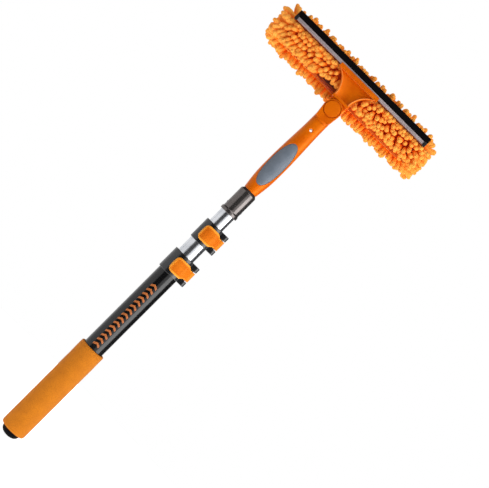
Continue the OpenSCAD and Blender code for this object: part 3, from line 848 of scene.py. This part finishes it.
def channel_strip():
    """The blade's channel: a box section open at the top, with a shallow groove along its front."""
    y0, y1, z0, z1 = STRIP.lo.y, STRIP.hi.y, STRIP.lo.z, STRIP.hi.z
    mid, slot, floor_z, groove = STRIP.middle.y, 1.15 * MM, z0 + 1.2 * MM, y0 + 0.35 * MM
    corners = [(y0, z0), (y1, z0), (y1, z1), (mid + slot, z1), (mid + slot, floor_z), (mid - slot, floor_z),
               (mid - slot, z1), (y0, z1), (y0, z0 + 2.9 * MM), (groove, z0 + 2.7 * MM),
               (groove, z0 + 2.3 * MM), (y0, z0 + 2.1 * MM)]
    return drawn_profile("channel_strip", soften(corners, 0.3 * MM, closed=True), STRIP.lo.x, STRIP.hi.x)


def wiper_rubber():
    """The rubber's section: a thick foot in the channel, a moulded shoulder and a blade with a crisp lip."""
    mid, foot, top, lip = STRIP.middle.y, STRIP.lo.z + 1.4 * MM, STRIP.hi.z, BLADE.hi.z
    half = [(-1.05, foot), (-1.05, top), (-2.6, top + 0.05 * MM), (-2.6, top + 2.4 * MM),
            (-1.5, top + 3.3 * MM), (-0.95, lip - 1.2 * MM), (-1.0, lip)]
    outline = [(mid + y * MM, z) for y, z in half] + [(mid - y * MM, z) for y, z in half[::-1]]
    return drawn_profile("wiper_rubber", soften(outline, 0.35 * MM, closed=True), BLADE.lo.x, BLADE.hi.x)


def end_stops():
    """Two small caps over the channel's ends."""
    (left, front, low), (right, back, high), wide = *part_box("channel_end_clips"), 5 * MM
    made = [rounded_box(f"end_stop_{k}", (x, front, low), (x + wide, back, high), MM, 0.6 * MM, "Y")
            for k, x in enumerate((left, right - wide))]
    return combine(made[0], made[1:])


place(channel_strip(), STRIP_METAL, "swivel_head", "channel_metal", "blade_channel")
place(wiper_rubber(), BLADE_RUBBER, "swivel_head", "blade_rubber", "rubber_blade")
place(end_stops(), CLIP_BLACK, "swivel_head", "clip_plastic", "channel_end_clips")


# ---- Scrubber sleeve ----

CORE_HALF = PAD.hi.x - 7 * MM
CORE_LOW, CORE_HIGH = PIVOT_Z + 17 * MM, PIVOT_Z + 58 * MM
CORE_FRONT, CORE_BACK = 10.5 * MM, 28.6 * MM    # where the strands are rooted
CLOTH_FRONT = 7.6 * MM                          # the backing's face, in front of the bar
STRAND_R = 3.35 * MM
HEM_CLEAR = PIVOT_Z + 15.4 * MM                 # the front strands stay above this
SWING_CLEAR = 15 * MM                           # the strands below stay behind this, clear of the handle
FREE = 1.0                                      # more room than any strand needs
TIP_STEPS = np.array([0.0, 0.22, 0.44, 0.64, 0.8, 0.89, 0.95, 0.985])


def sleeve_core():
    """The backing cloth as a crowned slab: a rounded section drawn along X that swells in the middle of
    each face and pulls in at the ends."""
    t = np.linspace(-1, 1, 60)
    end = np.sqrt(np.clip(1 - np.abs(t) ** 14, 0, 1))
    x = t * CORE_HALF
    b, power = circle(64), 0.35
    cy, cz = bowed(np.cos(b), power), bowed(np.sin(b), power)
    half_y, half_z = (CORE_BACK - CLOTH_FRONT) / 2, (CORE_HIGH - CORE_LOW) / 2
    pucker = 1 + 0.02 * np.sin(x / MM / 7)[:, None]
    scale = (0.35 + 0.65 * end)[:, None]
    y = (CLOTH_FRONT + CORE_BACK) / 2 + half_y * cy[None, :] * scale * pucker
    z = (CORE_LOW + CORE_HIGH) / 2 + half_z * cz[None, :] * scale * pucker
    return skin("sleeve_core", np.stack([x[:, None] + 0 * y, y, z], -1), sharp=60)


def plump(thing, voxel, most):
    """Remeshes a padded piece evenly, blows it up with Cloth under pressure, and caps how far a point
    moves."""
    remesh = thing.modifiers.new("even", "REMESH")
    remesh.mode, remesh.voxel_size = "VOXEL", voxel
    settle(thing)
    before, frames = points_of(thing), 20
    cloth = thing.modifiers.new("cloth", "CLOTH")
    cloth.settings.use_pressure, cloth.settings.uniform_pressure_force = True, 4.0
    cloth.settings.effector_weights.gravity = 0
    cloth.point_cache.frame_start, cloth.point_cache.frame_end = 1, frames
    for step in range(1, frames + 1):
        bpy.context.scene.frame_set(step)
    settle(thing)
    bpy.context.scene.frame_set(1)
    move = points_of(thing) - before
    far = np.linalg.norm(move, axis=1, keepdims=True)
    move_points(thing, before + move * np.minimum(1, most / np.maximum(far, 1e-9)))
    finer = thing.modifiers.new("finer", "SUBSURF")
    finer.levels = finer.render_levels = 1
    return settle(thing, 60)


def strand_roots(rng):
    """Roots and outward directions of the strands: rows round the core's rounded section, closer where it
    turns, each row's strands evenly spaced along X and shaken a little, and a patch on each end. Behind
    and above, the directions splay from the core's middle."""
    pitch, row_pitch, shake, closer, splay = 7 * MM, 6.3 * MM, 0.4 * MM, 4 * MM, 0.8
    low, high = np.array([CORE_FRONT, CORE_LOW]), np.array([CORE_BACK, CORE_HIGH])
    corners = [(low[0], low[1]), (low[0], high[1]), (high[0], high[1]), (high[0], low[1])]
    loop = soften(corners, 7 * MM, closed=True, steps=9)
    loop = np.vstack([loop, loop[:1]])
    run = np.diff(loop, axis=0)
    heading = np.unwrap(np.arctan2(run[:, 1], run[:, 0]))
    turn = np.abs(np.diff(heading, append=heading[:1] + heading[-1] - heading[0]))
    s = np.concatenate([[0], np.cumsum(np.linalg.norm(run, axis=1) + closer * turn)])
    rows, cols = round(s[-1] / row_pitch), round(2 * CORE_HALF / pitch)
    row, col = np.repeat(np.arange(rows), cols), np.tile(np.arange(cols), rows)
    at = (row + 0.5) / rows * s[-1]
    spots, ahead, behind = (np.stack([np.interp(where, s, loop[:, k], period=s[-1]) for k in (0, 1)], 1)
                            for where in (at, at + MM, at - MM))
    way = ahead - behind
    n = unit(np.column_stack([0 * at, -way[:, 1], way[:, 0]]))
    from_middle = np.column_stack([0 * at, (spots - low) / (high - low) - 0.5])
    n = unit(np.where(n[:, 1:2] > -0.3, n + splay * from_middle, n))
    along_x = ((col + 0.25 + 0.5 * (row % 2)) / cols * 2 - 1) * CORE_HALF
    root = np.column_stack([along_x, spots])
    for side in (-1, 1):
        v, w = np.meshgrid(np.linspace(0.1, 0.9, 4), np.linspace(0.05, 0.95, 7))
        spots = low + np.column_stack([v.ravel(), w.ravel()]) * (high - low)
        root = np.vstack([root, np.column_stack([np.full(v.size, side * (CORE_HALF - 3 * MM)), spots])])
        n = np.vstack([n, np.tile([side, 0.0, 0.0], (v.size, 1))])
    loose = np.where(n[:, 1] < -0.3, 1, 2.2)[:, None]
    root += rng.normal(0, shake, root.shape) * loose * (1 - np.abs(n))
    root[:, 1] = np.where(n[:, 2] < -0.4, np.maximum(root[:, 1], SWING_CLEAR + MM), root[:, 1])
    upper_front = (n[:, 1] < -0.3) & (root[:, 2] > PIVOT_Z + 30 * MM)
    root[:, 2] = np.where(upper_front, np.minimum(root[:, 2], STRIP.lo.z - STRAND_R - 0.8 * MM), root[:, 2])
    return root - n * 2 * MM, n


def strand_lines(root, n, rng):
    """Each strand's middle line, root + L (t d + t^2 g), where d is the outward direction shaken at random
    and g bends it. Towards the ends they fan out, on the left they are combed aside, and they droop."""
    count, facing, on_end = len(root), -n[:, 1], np.abs(n[:, 0]) > 0.5
    over, under, front = n[:, 2] > 0.5, n[:, 2] < -0.5, facing > 0.3
    x, z = root[:, 0], root[:, 2]
    by_face = np.where(on_end, 1.3, 1) * np.where(over, 1.24, 1)
    by_face = np.where(under, rng.uniform(0.66, 0.95, count), by_face)
    length = rng.uniform(15.5, 18.5, count) * MM * by_face
    near_strip = smooth_step(z, STRIP.lo.z - 20 * MM, STRIP.lo.z - 3 * MM)
    free = 1 - 0.7 * near_strip * front
    combed = smooth_step(-x, 14 * MM, 55 * MM) * (facing > 0.5)
    droop = (1 - smooth_step(x, -30 * MM, 40 * MM)) * free
    droop = np.where(facing < 0, 0.8 - 1.1 * smooth_step(z, CORE_LOW + 6 * MM, CORE_HIGH), droop)
    flank, level = np.abs(n[:, 1]), (z - CORE_LOW) / (CORE_HIGH - CORE_LOW)
    lean = rng.normal(0, 1, (count, 3)) * np.where(front, 0.08, 0.17)[:, None]
    lean[:, 0] += 0.8 * end_share(root) - 0.65 * combed
    lean[:, 2] -= (0.22 * free + 0.55 * droop) * flank ** 2 + 0.1 * on_end
    lean[:, 2] += 0.5 * on_end * (level - 0.5)
    way = unit(n + lean * (1 - 0.6 * np.abs(n)))
    bend = rng.normal(0, 0.08, (count, 3))
    bend[:, 2] -= 0.25 * flank * free
    t = TIP_STEPS[None, :, None]
    line = root[:, None] + length[:, None, None] * (t * way[:, None] + t ** 2 * bend[:, None])
    return draw_back(lift(line, facing))


def end_share(root):
    """How near a root is to the sleeve's end: 0 in the middle, up to 1 on the right and -1 on the left."""
    return smooth_step(np.abs(root[:, 0]), CORE_HALF - 26 * MM, CORE_HALF) * np.sign(root[:, 0])


def strands(name, root, n, rng, sides=8):
    """Chenille strands, all at once: tubes round their middle lines. The radius swells and nips along each
    and closes round at its tip."""
    line = strand_lines(root, n, rng)
    count, rings = line.shape[:2]
    tangent = unit(np.gradient(line, TIP_STEPS, axis=1))
    side = unit(np.cross(tangent, np.array([0.36, 0.8, 0.48])))
    other = np.cross(tangent, side)
    t = TIP_STEPS[None, :]
    swell = 1 + 0.05 * np.sin(2 * PI * (1.6 * t + rng.uniform(0, 1, (count, 1))))
    tip = np.sqrt(np.clip(1 - np.clip((t - 0.83) / 0.17, 0, 1) ** 2, 0, 1))
    foot = 0.8 + 0.2 * np.clip(t * 3, 0, 1)
    radius = STRAND_R * rng.uniform(0.94, 1.08, (count, 1)) * swell * tip * foot
    tufted = rng.normal(1, 0.05, (count, rings, sides, 1))
    a = circle(sides)[None, None, :, None]
    spoke = np.cos(a) * side[:, :, None] + np.sin(a) * other[:, :, None]
    ring = line[:, :, None] + radius[..., None, None] * tufted * spoke
    ends = np.stack([line[:, 0], line[:, -1] + 0.16 * radius[:, -1:] * tangent[:, -1]], 1)
    points = np.concatenate([ring.reshape(count, -1, 3), ends], 1)
    per = points.shape[1]
    start = (np.arange(count) * per)[:, None, None]
    faces = (quads(rings, sides)[None] + start).reshape(-1, 4).tolist()
    faces += (ring_caps(rings, sides, per - 2, per - 1)[None] + start).reshape(-1, 3).tolist()
    thing = finish_mesh(new_piece(name, points, faces), sharp=80)
    along = np.concatenate([np.repeat(TIP_STEPS, sides), [0.0, 1.0]])
    near_end = end_share(root)
    # Painted light: strands that point up or down, and those near the sleeve's ends, are made lighter along their
    # whole length, the left end, which faces away from the key panels, more than the right
    painted_pale_share = np.maximum(0.3 * np.abs(n[:, 2]), 0.5 * np.abs(near_end))[:, None]
    painted_end_lift = 0.6 * (np.where(near_end < 0, 1.0, 0.45) * np.abs(near_end))[:, None]
    mark(thing, "along", (painted_pale_share + (1 - painted_pale_share + painted_end_lift) * along[None, :]).ravel())
    mark(thing, "tint", np.repeat(rng.uniform(0, 1, count), per))
    return thing


def shorten(line, axis, room, least):
    """Scales each strand's whole run along an axis, until no point of it runs further than its room."""
    start = line[:, :1, axis]
    run = line[..., axis] - start
    share = np.where(run != 0, room / np.maximum(np.abs(run), 1e-9), 1.0).min(1, keepdims=True)
    fitted = line.copy()
    fitted[..., axis] = start + run * np.clip(share, least, 1)
    return fitted


def lift(line, facing):
    """Keeps the front strands between the hem and the channel. Beside the yoke they stay higher, and bare the
    mouth, whose backing is painted dark as shadow."""
    x, z = line[..., 0], line[..., 2]
    start = z[:, :1]
    mouth = smooth_step(x, -50 * MM, -38 * MM) * (1 - smooth_step(x, -10 * MM, -4 * MM))
    low = HEM_CLEAR + STRAND_R + 4.4 * MM * smooth_step(x, -62 * MM, -48 * MM) + 4.2 * MM * mouth
    high = STRIP.lo.z - STRAND_R - 0.4 * MM
    room = np.where(z < start, np.maximum(start - low, 0), np.where(start < high, high - start, FREE))
    return shorten(line, 2, np.where(facing[:, None] > 0.3, room, FREE), 0.05)


def draw_back(line):
    """Keeps the strands behind the fan and the channel, and off the handle's path below."""
    x, y, z = np.abs(line[..., 0]), line[..., 1], line[..., 2]
    behind_fan = (x < fan_half_width(z) + 3.2 * MM) & (z < FAN_TOP + 2 * MM)
    behind_strip = (z > STRIP.lo.z - STRAND_R) & (x < BLADE.hi.x + 3 * MM)
    limit = np.where(behind_fan | behind_strip, 3.4 * MM, -8 * MM)
    limit = np.where(z < PIVOT_Z + 15.2 * MM + STRAND_R, SWING_CLEAR, limit)
    over = (y < limit) & (y < y[:, :1])
    return shorten(line, 1, np.where(over, y[:, :1] - limit, FREE), 0.02)


def hem_tape():
    """A bound tape along the sleeve's lower front edge, in two lengths, that ripples gently and narrows
    towards the yoke on the left."""
    made = []
    for side in (-1, 1):
        x = side * np.linspace(15 * MM, HEM.hi.x, 120)
        ripple = 0.5 * MM * np.sin(x / MM / 6.5) + 0.3 * MM * np.sin(x / MM / 2.9)
        section = soften([(0, 0), (1.4, 0), (1.4, 4.8), (0, 4.8)], 0.6, closed=True) * MM
        narrow = 1 - 0.62 * smooth_step(x, -56 * MM, -36 * MM) * (x < 0)
        y = HEM.lo.y + 1.8 * MM + ripple[:, None] + section[None, :, 0]
        z = HEM.lo.z + 0.2 * MM + 0.4 * ripple[:, None] + section[None, :, 1] * narrow[:, None]
        made.append(skin(f"hem_{len(made)}", np.stack([x[:, None] + 0 * y, y, z], -1), sharp=60))
    return combine(made[0], made[1:])


chance = np.random.default_rng(7)
core = place(plump(sleeve_core(), 5 * MM, 2.5 * MM), PAD_CLOTH, "swivel_head", "chenille", "scrub_pad")
roots, outward = strand_roots(chance)
root_x, root_z, facing_front = roots[:, 0], roots[:, 2], outward[:, 1] < -0.5
bare = np.abs(root_x) < fan_half_width(root_z) - 6 * MM                             # behind the fan
bare |= (root_x > -44 * MM) & (root_x < 0) & (root_z < CORE_LOW + 9 * MM)           # the mouth beside it
for label, chosen in (("strands_front", facing_front & ~bare), ("strands_round", ~facing_front)):
    tuft = strands(label, roots[chosen], outward[chosen], chance)
    place(tuft, CHENILLE, "swivel_head", "chenille", "scrub_pad")
place(hem_tape(), HEM_CLOTH, "swivel_head", "hem_fabric", "pad_hem")


# ---- Finishes of the CAD pieces that stay ----

KEPT = {
    "liner_plastic": ACETAL, "shoe_rubber": CAP_RUBBER, "steel": STEEL, "guide_plastic": NYLON,
    "bar_plastic": BAR_PAINTED_SHADE,
}
for entry in frame["record"]["subparts"]:
    if entry["material_slot"] in KEPT:
        part = frame["nodes"][entry["node"]]
        part.data.materials.clear()
        part.data.materials.append(KEPT[entry["material_slot"]])


# ---- Floor, light and camera ----

def floor():
    """A wide pale disc that the tool stands on by its butt."""
    a = circle(128)
    radius, z = 0.75, CAP.lo.z - 0.2 * MM
    rim = np.stack([radius * np.cos(a), radius * np.sin(a), 0 * a + z], 1)
    disc = new_piece("floor", rim, [list(range(len(a)))])
    paint = Paint("pale floor", Roughness=0.9, Specular_IOR_Level=0.1, Emission_Color=(1, 1, 1, 1),
                  Emission_Strength=0.9)
    paint.use(Base_Color=paint.blend(paint.noise(3, 2), (0.93, 0.93, 0.93, 1), (0.95, 0.95, 0.95, 1)))
    disc.data.materials.append(paint.material)


# Soft panels round the tool: name, the azimuths they span from the front towards +X, and radiance
PANELS = [("right_edge", 13, 42, 0.95), ("right_key", 42, 82, 4.1), ("left_near", -100, -40, 0.85),
          ("left_far", -165, -102, 0.9), ("rear", 156, 192, 1.3)]
PANEL_AWAY, PANEL_TALL, PANEL_MIDDLE = 1.5, 1.7, 0.32


def area_light(name, size, radiance, where):
    """A rectangular light that shines along its own -Z. Its power is radiance times pi times its area."""
    data = bpy.data.lights.new(name, "AREA")
    data.shape, data.size, data.size_y = "RECTANGLE", size[0], size[1]
    data.energy = radiance * PI * size[0] * size[1]
    lamp = new_object(name, data)
    lamp.visible_camera = False
    lamp.matrix_world = where


def panel(name, low, high, radiance):
    """A flat panel that spans two azimuths, as seen from the pole."""
    a, half = math.radians((low + high) / 2), math.radians((high - low) / 2)
    away = np.array([math.sin(a), -math.cos(a), 0])
    right = np.array([math.cos(a), math.sin(a), 0])
    turn = Matrix(np.stack([right, (0, 0, 1), away], 1)).to_4x4()
    spot = Matrix.Translation(tuple(away * PANEL_AWAY + np.array([0, 0, PANEL_MIDDLE])))
    area_light(name, (2 * PANEL_AWAY * math.tan(half), PANEL_TALL), radiance, spot @ turn)


def overhead():
    """A wide panel above, facing down, and a smaller one high in front, tipped towards the head."""
    area_light("overhead", (1.8, 1.8), 0.9, Matrix.Translation((0, 0, 2.2)))
    tip, swing = math.radians(48), math.radians(32)
    away = Matrix.Rotation(swing, 4, "Z") @ Matrix.Rotation(PI / 2 - tip, 4, "X")
    where = Matrix.Translation((0, 0, 0.5)) @ away @ Matrix.Translation((0, 0, 1.55))
    area_light("front_high", (1.1, 0.9), 2.4, where)


def surroundings():
    """White to the eye, and a softer grey as a light."""
    world = bpy.data.worlds.new("studio")
    world.use_nodes = True
    bpy.context.scene.world = world
    tree = world.node_tree
    sky = tree.nodes["Background"]
    seen = tree.nodes.new("ShaderNodeLightPath")
    mix = tree.nodes.new("ShaderNodeMix")
    mix.data_type = "RGBA"
    mix.inputs[6].default_value = (0.05, 0.05, 0.052, 1)
    mix.inputs[7].default_value = (1, 1, 1, 1)
    tree.links.new(seen.outputs["Is Camera Ray"], mix.inputs[0])
    tree.links.new(mix.outputs[2], sky.inputs["Color"])


def camera():
    """A long lens straight in front, rolled so that the pole leans up to the right."""
    data = bpy.data.cameras.new("camera")
    data.lens, data.sensor_width = 100, 36
    eye = new_object("camera", data)
    lean = math.radians(45)
    right, up = (math.cos(lean), 0, math.sin(lean)), (-math.sin(lean), 0, math.cos(lean))
    turn = Matrix(np.stack([right, up, (0, -1, 0)], 1)).to_4x4()
    eye.matrix_world = Matrix.Translation((0.046, -1.885, CAP.lo.z + 0.420)) @ turn
    bpy.context.scene.camera = eye


floor()
surroundings()
for name, low, high, radiance in PANELS:
    panel(name, low, high, radiance)
overhead()
camera()
bpy.context.scene.view_settings.view_transform = "Standard"
